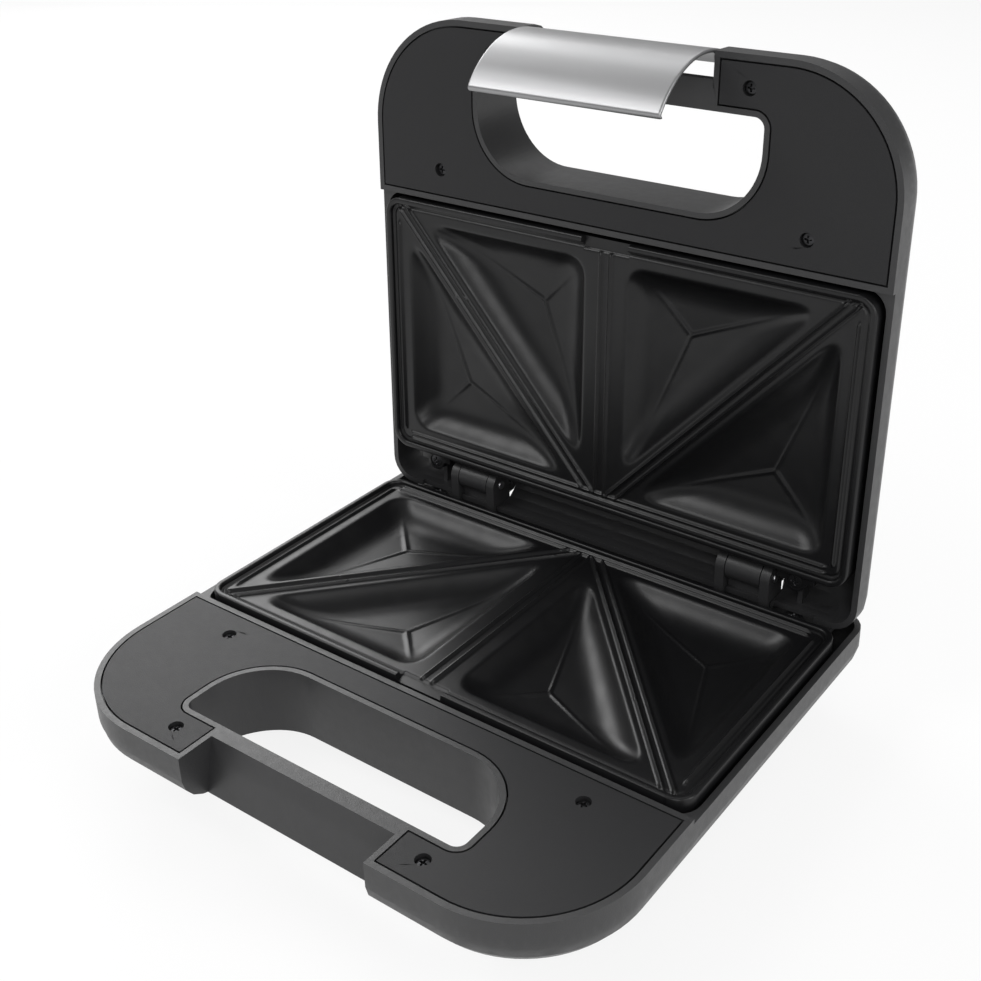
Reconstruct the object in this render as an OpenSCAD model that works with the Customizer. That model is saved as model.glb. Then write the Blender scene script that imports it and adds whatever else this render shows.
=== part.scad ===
/* [Casing] */
// Half width of the casing and its handle
case_half_w = 116; // [114:1:126]
// Front edge of the handle, measured back from the plate corner line
grip_front_y = -71; // [-76:1:-68]
// Radius of the two big front corners of the handle
grip_corner_r = 45; // [38:1:50]
// How far the casing reaches back behind the plates
rear_margin = 20; // [19:1:26]
// Wall thickness of both casings
wall = 2.4; // [2:0.1:3]
// Height of the lower edge of the casing sides
side_z = 20; // [17:0.5:22]
// Height of the flat under-belly of the base
belly_z = 4; // [3:0.5:6]
// How far the belly reaches back beyond an even inset
belly_back = 9; // [4:1:10]

/* [Handle] */
// Half width of the finger opening
hole_half_w = 63; // [54:1:66]
// Front edge of the finger opening
hole_front_y = -50; // [-51:0.5:-46]
// Rear edge of the finger opening
hole_rear_y = -12.5; // [-18:0.5:-12]
// Radius of the two rear corners of the finger opening
hole_rear_r = 25; // [16:1:28]
// Half width of the latch notch
notch_half_w = 42; // [36:1:44]
// Rear face of the latch notch
notch_y = -54; // [-55:0.5:-53.5]
// Thickness of the cover panel let into each handle
panel_t = 2.2; // [1.6:0.1:2.6]
// Gap of the seam round the cover panel
seam = 0.7; // [0.4:0.05:0.9]

/* [Plates] */
// Half width of a cooking plate
plate_half_w = 112; // [111:0.5:112.5]
// Depth of a cooking plate from front rim to rear rim
plate_depth = 118; // [116:0.5:118]
// Height of the top of the lower plate rim above the table
rim_z = 40; // [39:0.5:42]
// Width of the raised rim
rim_w = 2.6; // [2:0.1:3.4]
// How far the rim stands above the land between the pockets
rim_h = 1.6; // [1.2:0.1:2]
// Depth of a pocket at its deepest point, below the rim
pocket_depth = 12.5; // [10:0.5:13]
// Depth at which the steep pocket wall turns into the shallow floor
wall_depth = 9; // [7:0.5:9.5]
// Width of the sloping pocket wall seen from above
slope_w = 12; // [9:0.5:13]
// Corner radius of a pocket
pocket_r = 6; // [4:0.5:7]
// Height of the cutting ribs above the land
rib_h = 1.2; // [0.8:0.1:1.2]

/* [Hinge and latch] */
// How far the hinge line lies behind the plates
hinge_back = 8.5; // [8.5:0.25:9.5]
// How far the hinge line lies above the parting plane
hinge_up = 8; // [8:0.25:9]
// Opening angle of the lid in the resting position
open_angle = 92; // [90:1:100]
// Diameter of the hinge pins
pin_d = 4; // [3:0.25:5]
// Centre of each hinge, measured sideways from the middle
hinge_x = 68; // [62:1:70]
// Radius of the curved latch clip
clip_r = 33.5; // [33:0.5:36]
// Thickness of the latch clip
clip_t = 1.6; // [1.2:0.1:2]

/* [Heating] */
// Diameter of the heating rod
rod_d = 6.5; // [6:0.5:7.5]
// Inset of the rod's straight runs from the sides of the casing
rod_inset = 54; // [50:1:64]
// Distance between the two runs of the heating rod
rod_pitch = 50; // [44:1:56]

/* [Small parts] */
// Diameter of the rubber feet
foot_d = 16; // [12:1:20]
// Diameter of the screw shanks
screw_d = 3; // [2.5:0.25:3.5]
// Diameter of the signal lamp lenses
lens_d = 8; // [6:0.5:10]

/* [Hidden] */
$fn = 48;
e = 0.01;
slab = 0.3;
fit_gap = 0.05;
panel_z = rim_z - 2;
case_top_z = rim_z - 6;
bay_top_z = case_top_z + 2;
grip_half_w = case_half_w;
lip = 2.8;
land_z = rim_z - rim_h;
part_gap = 0.4;
part_z = rim_z + part_gap / 2;
front_y = 4;
rear_y = front_y + plate_depth;
case_rear_y = rear_y + rear_margin;
hinge_y = rear_y + hinge_back;
hinge_z = part_z + hinge_up;
front_wall_y = 1;
plate_r = 8;
case_r = 11;
edge_r = 8;
belly_in = 14;
belly_flare = 12;
tub_z = rim_z - pocket_depth - 2.5;
side_in = 12;
front_in = 10;
rear_in = 11;
mid_in = 10;
rib_half = 5.5;
slope = (plate_depth - 6) / (plate_half_w - 9);
slope_k = sqrt(1 + slope * slope);
diag_x = -(plate_half_w - 6);
diag_y = front_y + 2;
screw_head_d = 6.6;
screw_head_h = 2.2;
boss_drop = 4;
boss_d = 11;
screw_seat_z = panel_z - 0.9 - screw_head_h;
screw_xy = [[-(case_half_w - 33.5), -10], [case_half_w - 33.5, -10], [-56.3, -59.5], [56.3, -59.5]];
ear_x = 90;
ear_t = 2.4;
ear_hole_y = rear_y + 4.5;
ear_relief = 18;
cheek_t = 4;
barrel_half = 7.6;
cheek_r = 6;
axial_gap = 0.4;
foot_xy = [[-72, 40], [72, 40], [-72, 113], [72, 113]];
post_xy = [[-55, 50], [55, 50], [-55, 96], [55, 96]];
reflector_z = belly_z + wall + 4.4;
reflector_t = 0.8;
reflector_h = 5;
reflector_half_w = case_half_w - 34;
reflector_front = front_y + 30;
reflector_rear = rear_y - 14;
rod_half_l = case_half_w - rod_inset;
strap_x = rod_half_l - 24;
strap_w = 12;
strap_t = 1.3;
sleeve_l = 7;
tag_l = 5;
tag_d = 2.4;
cup_d = 16;
cup_h = 8;
cup_y = front_y + plate_depth * 0.44;
fuse_d = 5;
fuse_l = 10;
fuse_y = front_y + plate_depth * 0.644;
block = [36, 8, 9];
block_y = rear_y - 12;
terminal_d = 4;
terminal_pitch = 12;
holder = [40, 12, 3];
boss_x = case_half_w - 12;
boss_y = front_y + 10;
post_d = 8;
web = 2;
web_l = case_half_w - wall - boss_x;
web_z = side_z + 5;
web_h = case_top_z - 4 - web_z;
rod_z = tub_z - rod_d / 2 - 0.1;
rod_mid_y = front_y + plate_depth / 2;
clip_half_w = notch_half_w - 1;
clip_mid_z = part_z - 0.45;
clip_mid_y = grip_front_y - 0.5 + clip_r;
clip_top_z = 2 * part_z - side_z - 0.9;
clip_low_z = side_z - 1.2;
pivot_y = -60;
pivot_z = 2 * part_z - side_z - 5.4;
pivot_d = 3;
ledge_t = 2.4;
ledge_y = -61;
lamp_xy = [[-10, 40], [10, 40]];
dome_y = front_wall_y + belly_in + belly_flare + 2;
back_y = hinge_y + (dome_y - hinge_y) * cos(open_angle) + (2 * part_z - belly_z - hinge_z) * sin(open_angle);
mid_y = (grip_front_y + back_y) / 2;

// Rounded rectangle built from plain squares and circles.
module rounded(x, y0, y1, r) {
    translate([-x + r, y0]) square([2 * (x - r), y1 - y0]);
    translate([-x, y0 + r]) square([2 * x, y1 - y0 - 2 * r]);
    for (sx = [-1, 1], y = [y0 + r, y1 - r]) translate([sx * (x - r), y]) circle(r);
}

// Plan of the handle: square at the rear, two big rounded corners in front.
module grip_plan(in, y1) {
    r = grip_corner_r - in;
    x = grip_half_w - in;
    y0 = grip_front_y + in;
    translate([-x, y0 + r]) square([2 * x, y1 - y0 - r]);
    translate([-x + r, y0]) square([2 * (x - r), r + 1]);
    for (m = [0, 1]) mirror([m, 0]) intersection() {
        translate([x - r, y0 + r]) circle(r);
        translate([x - r - 1, y0 - 1]) square(r + 2);
    }
}

// Plan of the finger opening, grown by g all round.
module hole_plan(g) {
    x = hole_half_w + g;
    y0 = hole_front_y - g;
    y1 = hole_rear_y + g;
    rr = hole_rear_r + g;
    rf = 4 + g;
    translate([-x, y0 + rf]) square([2 * x, y1 - y0 - rf - rr]);
    translate([-x + rf, y0]) square([2 * (x - rf), rf + 1]);
    translate([-x + rr, y1 - rr - 1]) square([2 * (x - rr), rr + 1]);
    for (m = [0, 1]) mirror([m, 0]) {
        translate([x - rf, y0 + rf]) circle(rf);
        intersection() {
            translate([x - rr, y1 - rr]) circle(rr);
            translate([x - rr - 1, y1 - rr - 1]) square(rr + 2);
        }
    }
}

// Heights and insets of the rounded lower edge of a casing.
function edge_steps(z, r) = [for (a = [0 : 30 : 90]) [z + r * (1 - sin(a)), r * (1 - cos(a))]];

// Tray round the plate, from front y0 back, moved in by in.
module plate_bay(in, z0, z1, y0) {
    $fn = 24;
    hull() {
        for (s = edge_steps(z0, edge_r)) translate([0, 0, s[0]]) linear_extrude(slab)
            rounded(case_half_w - in - s[1], y0 + s[1] * 0.2, case_rear_y - in - s[1], case_r - in);
        translate([0, 0, z1 - slab]) linear_extrude(slab)
            rounded(case_half_w - in, y0, case_rear_y - in, case_r - in);
    }
}

module grip_bay(in, z0, z1, y1) {
    $fn = 40;
    hull() {
        for (s = edge_steps(z0, edge_r)) translate([0, 0, s[0]]) linear_extrude(slab)
            grip_plan(in + s[1], y1);
        translate([0, 0, z1 - slab]) linear_extrude(slab) grip_plan(in, y1);
    }
}

module belly(in, z0) {
    $fn = 16;
    hull() {
        translate([0, 0, side_z + in + 2]) linear_extrude(slab)
            rounded(case_half_w - belly_in - in, front_wall_y + belly_in + in, case_rear_y + belly_back - belly_in - in, case_r);
        translate([0, 0, z0 + 3]) linear_extrude(slab)
            rounded(case_half_w - belly_in - belly_flare + 1 - in, front_wall_y + belly_in + belly_flare - 1 + in,
                    case_rear_y + belly_back - belly_in - belly_flare + 1 - in, case_r);
        translate([0, 0, z0]) linear_extrude(slab)
            rounded(case_half_w - belly_in - belly_flare - 2 - in, front_wall_y + belly_in + belly_flare + 2 + in,
                    case_rear_y + belly_back - belly_in - belly_flare - 2 - in, case_r);
    }
}

// The casing both halves share: two bays, a belly, the finger opening and the notch. The rear
// wall is lower behind each plate ear, to clear the other half's ear as the lid swings.
module casing() {
    difference() {
        union() {
            difference() {
                union() {
                    plate_bay(0, side_z, bay_top_z, front_wall_y - case_r - 4);
                    grip_bay(0, side_z, panel_z, front_wall_y + wall);
                    belly(0, belly_z);
                }
                plate_bay(wall, side_z + wall, bay_top_z + 1, front_wall_y + wall);
                belly(wall, belly_z + wall);
                difference() {
                    grip_bay(wall + 2.4, side_z + wall, panel_z - panel_t + e, -1.5);
                    translate([0, 0, side_z]) linear_extrude(rim_z) hole_plan(wall);
                    translate([-notch_half_w - wall, grip_front_y - 1, side_z])
                        cube([2 * (notch_half_w + wall), notch_y - grip_front_y + 1 + wall, rim_z]);
                    for (p = screw_xy) translate([p[0], p[1], side_z])
                        cylinder(d = 9, h = panel_z - panel_t - boss_drop - side_z);
                }
            }
            for (sx = [-1, 1]) {
                translate([sx * boss_x, boss_y, side_z + 1]) cylinder(d = post_d, h = case_top_z - side_z - 1);
                translate([sx * (boss_x + web_l / 2), boss_y - web / 2, web_z]) mirror([sx < 0 ? 1 : 0, 0, 0])
                    translate([-web_l / 2, 0, 0]) cube([web_l + 1, web, web_h]);
                translate([sx * ear_x, ear_hole_y, side_z + 1]) cylinder(d = post_d + 1, h = case_top_z - side_z - 1);
                translate([sx * ear_x - web / 2, ear_hole_y, web_z])
                    cube([web, case_rear_y - wall - ear_hole_y + 1, web_h]);
            }
            for (p = post_xy) translate([p[0], p[1], belly_z + 1])
                cylinder(d = 7, h = reflector_z - belly_z - 1);
        }
        translate([0, 0, panel_z - panel_t]) linear_extrude(panel_t + 1) panel_plan(seam);
        for (sx = [-1, 1]) translate([sx * ear_x - ear_relief / 2, case_rear_y - wall - 1, case_top_z])
            cube([ear_relief, wall + 2, rim_z]);
        translate([0, 0, side_z - 1]) linear_extrude(rim_z) hole_plan(0);
        translate([-notch_half_w, grip_front_y - 1, side_z + ledge_t])
            cube([2 * notch_half_w, notch_y - grip_front_y + 1, rim_z]);
        for (p = screw_xy) translate([p[0], p[1], side_z + 3])
            cylinder(d = screw_d + 2 * fit_gap, h = rim_z);
        for (sx = [-1, 1]) translate([sx * ear_x, ear_hole_y, side_z + 3])
            cylinder(d = screw_d + 2 * fit_gap, h = rim_z);
    }
}

// Cover panel seen from above: the grip plan less its rim, the opening and the notch.
module panel_plan(g) {
    difference() {
        grip_plan(3 - g, 0.4 + g);
        hole_plan(lip - g);
        translate([-notch_half_w - lip + g, grip_front_y - 1])
            square([2 * (notch_half_w + lip - g), hole_front_y - grip_front_y + 1]);
    }
}

module handle_panel() {
    difference() {
        union() {
            translate([0, 0, panel_z - panel_t]) linear_extrude(panel_t) panel_plan(0);
            for (p = screw_xy) translate([p[0], p[1], panel_z - panel_t - boss_drop])
                cylinder(d = boss_d - 1.5, h = boss_drop + e);
        }
        for (p = screw_xy) translate([p[0], p[1], 0]) {
            translate([0, 0, screw_seat_z]) cylinder(d = screw_head_d + 0.8, h = rim_z);
            cylinder(d = screw_d + 0.6, h = rim_z);
        }
    }
}

module cross_screw(len) {
    difference() {
        cylinder(d = screw_head_d, h = screw_head_h);
        for (a = [0, 90]) rotate(a) translate([-2.2, -0.45, screw_head_h - 1.2]) cube([4.4, 0.9, 2]);
    }
    translate([0, 0, -len]) cylinder(d = screw_d, h = len + e);
}

module panel_screws() {
    for (p = screw_xy) translate([p[0], p[1], screw_seat_z]) cross_screw(screw_seat_z - side_z - 4.5);
}

// Corner centres of the outer (0) and inner (1) triangular pocket of the left half, moved in by d.
function diag_at(x) = diag_y + (x - diag_x) * slope;
function outer_tri(d) = let(x = -plate_half_w + side_in + d, y = rear_y - rear_in - d, k = (rib_half + d) * slope_k)
    [[x, y], [x, diag_at(x) + k], [(y - k - diag_y) / slope + diag_x, y]];
function inner_tri(d) = let(x = -mid_in - d, y = front_y + front_in + d, k = (rib_half + d) * slope_k)
    [[x, y], [x, diag_at(x) - k], [(y + k - diag_y) / slope + diag_x, y]];
function tri(i, d) = i == 0 ? outer_tri(d) : inner_tri(d);
function in_radius(p) = let(a = norm(p[0] - p[1]), b = norm(p[0] - p[2]), c = norm(p[1] - p[2])) (a + b - c) / 2;
function deep_point(i) = let(r = in_radius(tri(i, 0)), p = tri(i, 0)[0]) i == 0 ? [p[0] + r, p[1] - r] : [p[0] - r, p[1] + r];

// One triangular pocket: steep walls, then a three-sided pyramid floor.
module pocket(i) {
    hull() {
        for (p = tri(i, pocket_r)) translate([p[0], p[1], land_z]) cylinder(r = pocket_r, h = 4, $fn = 32);
        for (p = tri(i, slope_w + 3)) translate([p[0], p[1], rim_z - wall_depth]) cylinder(r = 3, h = e, $fn = 24);
        translate([deep_point(i)[0], deep_point(i)[1], rim_z - pocket_depth]) cylinder(r = 0.6, h = e, $fn = 12);
    }
}

module tub(i) {
    p = tri(i, 4);
    translate([0, 0, tub_z]) linear_extrude(case_top_z - tub_z + 1) {
        polygon(p);
        for (k = [0 : 2]) {
            a = p[k];
            b = p[(k + 1) % 3];
            translate(a) circle(4);
            translate(a) rotate(atan2(b[1] - a[1], b[0] - a[0])) translate([0, -4]) square([norm(b - a), 8]);
        }
    }
}

module rib(x0, y0, x1, y1, w, side) {
    translate([x0, y0, land_z - 1]) rotate(atan2(y1 - y0, x1 - x0))
        translate([0, side - w / 2, 0]) cube([norm([x1 - x0, y1 - y0]), w, rib_h + 1]);
}

// Cooking plate: land with four pockets, rim, cutting ribs, front slot and two rear ears.
module cooking_plate() {
    difference() {
        union() {
            translate([0, 0, case_top_z]) linear_extrude(land_z - case_top_z)
                rounded(plate_half_w, front_y, rear_y, plate_r);
            difference() {
                translate([0, 0, case_top_z - 3]) linear_extrude(rim_z - case_top_z + 3)
                    rounded(plate_half_w, front_y, rear_y, plate_r);
                translate([0, 0, case_top_z - 4]) linear_extrude(rim_z)
                    rounded(plate_half_w - rim_w, front_y + rim_w, rear_y - rim_w, plate_r - rim_w);
            }
            for (m = [0, 1], i = [0, 1]) mirror([m, 0, 0]) tub(i);
            for (m = [0, 1]) mirror([m, 0, 0]) {
                for (s = [-1.9, 1.9]) rib(diag_x + 1, diag_at(diag_x + 1), diag_x + (rear_y - 5 - diag_y) / slope, rear_y - 5, 1.3, s);
                translate([1.6, front_y + 5, land_z - 1]) cube([1.3, plate_depth - 12, rib_h + 1]);
                translate([plate_half_w - 7.4, front_y + 12, land_z - 1]) cube([1.4, plate_depth - 20, rib_h + 1]);
                translate([ear_x, rear_y - 1, case_top_z]) {
                    translate([-8, 0, 0]) cube([16, 5.5, ear_t]);
                    translate([0, 5.5, 0]) cylinder(r = 4.4, h = ear_t);
                }
            }
            for (y = [rear_y - 5.2, rear_y - 8]) translate([-plate_half_w + 9, y, land_z - 1])
                cube([2 * plate_half_w - 18, 1.2, rib_h + 1]);
        }
        for (m = [0, 1], i = [0, 1]) mirror([m, 0, 0]) pocket(i);
        translate([-10.5, front_y - 1, land_z - 1]) cube([21, rim_w + 2.2, rim_h + 2]);
        for (sx = [-1, 1]) translate([sx * ear_x, ear_hole_y, case_top_z - 1]) {
            cylinder(d = screw_d + 0.6, h = ear_t + 2);
            translate([0, 0, 2]) cylinder(d = 6.4, h = ear_t);
        }
    }
}

module plate_screws() {
    for (sx = [-1, 1]) translate([sx * ear_x, ear_hole_y, case_top_z + 1]) {
        difference() {
            cylinder(d = 6, h = ear_t - 1);
            for (a = [0, 90]) rotate(a) translate([-1.9, -0.4, ear_t - 1.8]) cube([3.8, 0.8, 2]);
        }
        translate([0, 0, -9]) cylinder(d = screw_d, h = 9 + e);
    }
}

module heating_rod() {
    for (s = [-1, 1]) translate([-rod_half_l - 8, rod_mid_y + s * rod_pitch / 2, rod_z]) rotate([0, 90, 0])
        cylinder(d = rod_d, h = 2 * rod_half_l + 8);
    translate([rod_half_l, rod_mid_y, rod_z]) rotate(-90) rotate_extrude(angle = 180)
        translate([rod_pitch / 2, 0]) circle(d = rod_d);
}

module rod_ends() {
    for (s = [-1, 1]) translate([-rod_half_l - 8, rod_mid_y + s * rod_pitch / 2, rod_z]) rotate([0, -90, 0]) {
        cylinder(d = rod_d, h = sleeve_l);
        translate([0, 0, sleeve_l]) cylinder(d = tag_d, h = tag_l);
    }
}

module rod_straps() {
    for (s = [-1, 1], x = [-strap_x, strap_x]) translate([x, rod_mid_y + s * rod_pitch / 2, 0]) difference() {
        translate([-strap_w / 2, -rod_d / 2 - 2, rod_z - rod_d / 2 - strap_t])
            cube([strap_w, rod_d + 4, tub_z - rod_z + rod_d / 2 + strap_t]);
        translate([-strap_w / 2 - 1, -rod_d / 2 - 0.4, rod_z - rod_d / 2 - 0.1]) cube([strap_w + 2, rod_d + 0.8, rod_d + 2]);
    }
}

module reflector() {
    x = reflector_half_w;
    l = reflector_rear - reflector_front;
    t = reflector_t;
    translate([-x, reflector_front, reflector_z]) difference() {
        cube([2 * x, l, reflector_h]);
        translate([t, t, t]) cube([2 * (x - t), l - 2 * t, reflector_h]);
    }
}

// The whole part is centred over the origin, front to back.
module placed() {
    translate([0, -mid_y, 0]) children();
}

// Everything of the lid is drawn mirrored above the parting plane, then swung open.
module as_lid() {
    translate([0, 0, 2 * part_z]) mirror([0, 0, 1]) children();
}
module swung() {
    translate([0, hinge_y, hinge_z]) rotate([-open_angle, 0, 0]) translate([0, -hinge_y, -hinge_z]) children();
}

module base_shell() {
    placed() color([0.09, 0.09, 0.1]) difference() {
        union() {
            casing();
            translate([-case_half_w + case_r, rear_y + 1, case_top_z - wall])
                cube([2 * (case_half_w - case_r), case_rear_y - rear_y - 2, wall]);
            for (sx = [-1, 1], s = [-1, 1])
                translate([sx * hinge_x + s * (barrel_half + axial_gap + cheek_t / 2), hinge_y, 0]) {
                    translate([-cheek_t / 2, -cheek_r, case_top_z - 1]) cube([cheek_t, 2 * cheek_r, hinge_z - case_top_z + 1]);
                    translate([-cheek_t / 2, 0, hinge_z]) rotate([0, 90, 0]) cylinder(r = cheek_r, h = cheek_t);
                }
        }
        for (sx = [-1, 1]) translate([sx * hinge_x, hinge_y, hinge_z]) rotate([0, 90, 0])
            cylinder(d = pin_d + 2 * fit_gap, h = 40, center = true);
        translate([-notch_half_w, grip_front_y - 5, side_z - 1]) cube([2 * notch_half_w, ledge_y - grip_front_y + 5, rim_z]);
        for (p = foot_xy) translate([p[0], p[1], belly_z - 1]) cylinder(d = 6.1, h = wall + 2);
        for (sx = [-1, 1]) translate([sx * ear_x, ear_hole_y, side_z + 3])
            cylinder(d = screw_d + 2 * fit_gap, h = rim_z);
    }
}

module base_panel() { placed() color([0.13, 0.13, 0.14]) handle_panel(); }
module base_panel_screws() { placed() color([0.6, 0.6, 0.62]) panel_screws(); }
module lower_plate() { placed() color([0.06, 0.06, 0.06]) cooking_plate(); }
module lower_plate_screws() { placed() color([0.6, 0.6, 0.62]) plate_screws(); }
module lower_rod() { placed() color([0.35, 0.33, 0.3]) heating_rod(); }
module lower_rod_ends() { placed() color([0.9, 0.88, 0.84]) rod_ends(); }
module lower_rod_straps() { placed() color([0.7, 0.7, 0.72]) rod_straps(); }
module lower_reflector() { placed() color([0.78, 0.78, 0.8]) reflector(); }

module thermostat() {
    placed() color([0.72, 0.66, 0.5]) translate([0, cup_y, case_top_z - cup_h]) {
        cylinder(d = cup_d, h = cup_h);
        translate([-cup_d / 5, -cup_d / 5, -2]) cube([cup_d * 0.4, cup_d * 0.4, 2.5]);
    }
}

module thermal_fuse() {
    placed() color([0.86, 0.84, 0.8]) translate([-fuse_l / 2, fuse_y, case_top_z - fuse_d / 2 - 0.1]) rotate([0, 90, 0]) {
        cylinder(d = fuse_d, h = fuse_l);
        translate([0, 0, -3]) cylinder(d = fuse_d / 4, h = fuse_l + 6);
    }
}

module terminal_block() {
    placed() color([0.88, 0.86, 0.78]) translate([-block[0] / 2, block_y, belly_z + wall]) difference() {
        cube(block);
        for (k = [-1 : 1]) translate([block[0] / 2 + terminal_pitch * k, block[1] / 2, 3]) cylinder(d = terminal_d, h = block[2]);
    }
}

module rubber_feet() {
    placed() color([0.05, 0.05, 0.05]) for (p = foot_xy) translate([p[0], p[1], 0]) {
        cylinder(d = foot_d, h = belly_z);
        cylinder(d = 6, h = belly_z + wall + 0.6);
    }
}

module hinge_pins() {
    placed() color([0.75, 0.75, 0.77]) for (sx = [-1, 1]) translate([sx * hinge_x, hinge_y, hinge_z]) rotate([0, 90, 0])
        cylinder(d = pin_d, h = 2 * (barrel_half + axial_gap + cheek_t) + 1, center = true);
}

module lid_shell() {
    placed() color([0.1, 0.1, 0.11]) swung() difference() {
        union() {
            as_lid() casing();
            for (sx = [-1, 1]) translate([sx * hinge_x, hinge_y, hinge_z]) {
                rotate([0, 90, 0]) cylinder(r = cheek_r, h = 2 * barrel_half, center = true);
                translate([-barrel_half, 0, -1.8]) cube([2 * barrel_half, case_rear_y - hinge_y - 1, cheek_r + 1.8]);
            }
        }
        for (sx = [-1, 1]) translate([sx * hinge_x, 0, 0]) {
            translate([0, hinge_y, hinge_z]) rotate([0, 90, 0]) cylinder(d = pin_d + 2 * fit_gap, h = 40, center = true);
            for (s = [-1, 1]) translate([s * (barrel_half + axial_gap + cheek_t / 2) - cheek_t / 2 - 0.35, hinge_y, part_z])
                cube([cheek_t + 0.7, 40, 2 * part_z - side_z - part_z + 1]);
        }
        translate([-notch_half_w, grip_front_y - 5, part_z]) cube([2 * notch_half_w, notch_y - grip_front_y + 5, rim_z]);
        translate([0, pivot_y, pivot_z]) rotate([0, 90, 0])
            cylinder(d = pivot_d + 2 * fit_gap, h = 2 * (notch_half_w + 6), center = true);
        for (p = lamp_xy) translate([p[0], p[1], 2 * part_z - belly_z - 10]) cylinder(d = lens_d + 2 * fit_gap, h = 20);
    }
}

module lid_panel() { placed() color([0.14, 0.14, 0.15]) swung() as_lid() handle_panel(); }
module lid_panel_screws() { placed() color([0.6, 0.6, 0.62]) swung() as_lid() panel_screws(); }
module upper_plate() { placed() color([0.06, 0.06, 0.06]) swung() as_lid() cooking_plate(); }
module upper_plate_screws() { placed() color([0.6, 0.6, 0.62]) swung() as_lid() plate_screws(); }
module upper_rod() { placed() color([0.35, 0.33, 0.3]) swung() as_lid() heating_rod(); }
module upper_rod_ends() { placed() color([0.9, 0.88, 0.84]) swung() as_lid() rod_ends(); }
module upper_rod_straps() { placed() color([0.7, 0.7, 0.72]) swung() as_lid() rod_straps(); }
module upper_reflector() { placed() color([0.78, 0.78, 0.8]) swung() as_lid() reflector(); }

module lens(p) {
    translate([p[0], p[1], belly_z - 0.6]) cylinder(d = lens_d, h = wall + 0.6);
    translate([p[0], p[1], belly_z + wall]) cylinder(d = lens_d + 3, h = 1.2);
}
module power_lens() { placed() color([0.8, 0.1, 0.06]) swung() as_lid() lens(lamp_xy[0]); }
module ready_lens() { placed() color([0.1, 0.6, 0.15]) swung() as_lid() lens(lamp_xy[1]); }
module lamp_holder() {
    placed() color([0.85, 0.83, 0.76]) swung() as_lid()
        translate([-holder[0] / 2, lamp_xy[0][1] - holder[1] / 2, belly_z + wall + 1.2]) cube(holder);
}

// Curved clip over the latch notch, with a lip below and two pivot ears near its upper edge.
module latch_clip() {
    a0 = asin((clip_low_z - clip_mid_z) / clip_r);
    a1 = asin((clip_top_z - clip_mid_z) / clip_r);
    lip_y = clip_mid_y - clip_r * cos(a0);
    placed() color([0.75, 0.76, 0.78]) swung() {
        translate([-clip_half_w, clip_mid_y, clip_mid_z]) rotate([90, 0, 90]) rotate([0, 0, 180 - a1])
            rotate_extrude(angle = a1 - a0) translate([clip_r - clip_t, 0]) square([clip_t, 2 * clip_half_w]);
        translate([-clip_half_w, lip_y, clip_low_z - 0.1]) cube([2 * clip_half_w, 8.5, 1]);
        for (sx = [-1, 1]) translate([sx * (clip_half_w - 1.5) - 1, 0, 0]) difference() {
            translate([0, pivot_y, pivot_z]) rotate([90, 0, 90]) linear_extrude(2) {
                circle(r = 3.6);
                polygon([[-8.6, -9], [-4, -9], [3.6, 0], [0, 3.6], [-5.2, 3.6]]);
            }
            translate([-1, pivot_y, pivot_z]) rotate([0, 90, 0]) cylinder(d = pivot_d + 2 * fit_gap, h = 4);
        }
    }
}

module latch_pins() {
    placed() color([0.7, 0.7, 0.72]) swung() for (sx = [-1, 1])
        translate([sx * notch_half_w, pivot_y, pivot_z]) rotate([0, 90, 0]) cylinder(d = pivot_d, h = 8, center = true);
}

base_shell();
base_panel();
base_panel_screws();
lower_plate();
lower_plate_screws();
lower_rod();
lower_rod_ends();
lower_rod_straps();
lower_reflector();
thermostat();
thermal_fuse();
terminal_block();
rubber_feet();
hinge_pins();
lid_shell();
lid_panel();
lid_panel_screws();
upper_plate();
upper_plate_screws();
upper_rod();
upper_rod_ends();
upper_rod_straps();
upper_reflector();
power_lens();
ready_lens();
lamp_holder();
latch_clip();
latch_pins();
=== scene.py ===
# %% [markdown]
# # A sandwich toaster, standing open
#
# The object is a countertop sandwich toaster with its lid up. Two moulded black casings are
# joined by a hinge at the back. Each holds a cast cooking plate with four triangular pockets,
# and each ends in a looped handle with a finger opening. A curved silver clip on the upper
# handle hooks under the lower one.
#
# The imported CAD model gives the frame: its nodes sit at their final place, in metres, with +X
# to the right, +Y towards the hinge and +Z up. This lesson dresses that frame. The cooking
# plates, clip, screws, feet, pins and lamp windows are new surfaces worked out with numpy. The
# two casings and their cover panels are copies of the CAD shape, bent where the real one is
# rounder.

import math

import bpy
import numpy as np
from mathutils import Matrix


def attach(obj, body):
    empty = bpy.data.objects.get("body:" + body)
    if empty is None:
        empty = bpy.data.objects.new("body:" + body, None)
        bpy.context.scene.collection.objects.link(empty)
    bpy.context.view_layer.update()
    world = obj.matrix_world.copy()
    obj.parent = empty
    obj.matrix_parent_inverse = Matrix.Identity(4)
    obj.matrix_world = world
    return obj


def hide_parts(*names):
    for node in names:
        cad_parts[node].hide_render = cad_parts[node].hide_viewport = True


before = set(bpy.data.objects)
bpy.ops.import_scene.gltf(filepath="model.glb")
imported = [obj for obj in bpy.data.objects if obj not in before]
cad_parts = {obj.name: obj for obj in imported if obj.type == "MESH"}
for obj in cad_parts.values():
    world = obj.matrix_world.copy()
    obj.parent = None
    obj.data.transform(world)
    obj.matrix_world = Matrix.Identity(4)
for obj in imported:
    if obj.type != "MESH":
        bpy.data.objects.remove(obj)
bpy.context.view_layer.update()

# %% [markdown]
# ## Two places for one drawing
#
# Both halves of the toaster are the same mouldings, so each piece is drawn once, in
# millimetres, as part of the closed lower half. `on_base` slides it to its place. `on_lid`
# mirrors it in the plane where the halves meet and swings it open about the hinge line. The
# other way is to model each half where it stands. That means twice the work, and a piece leaning
# back by two degrees is hard to measure.

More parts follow.
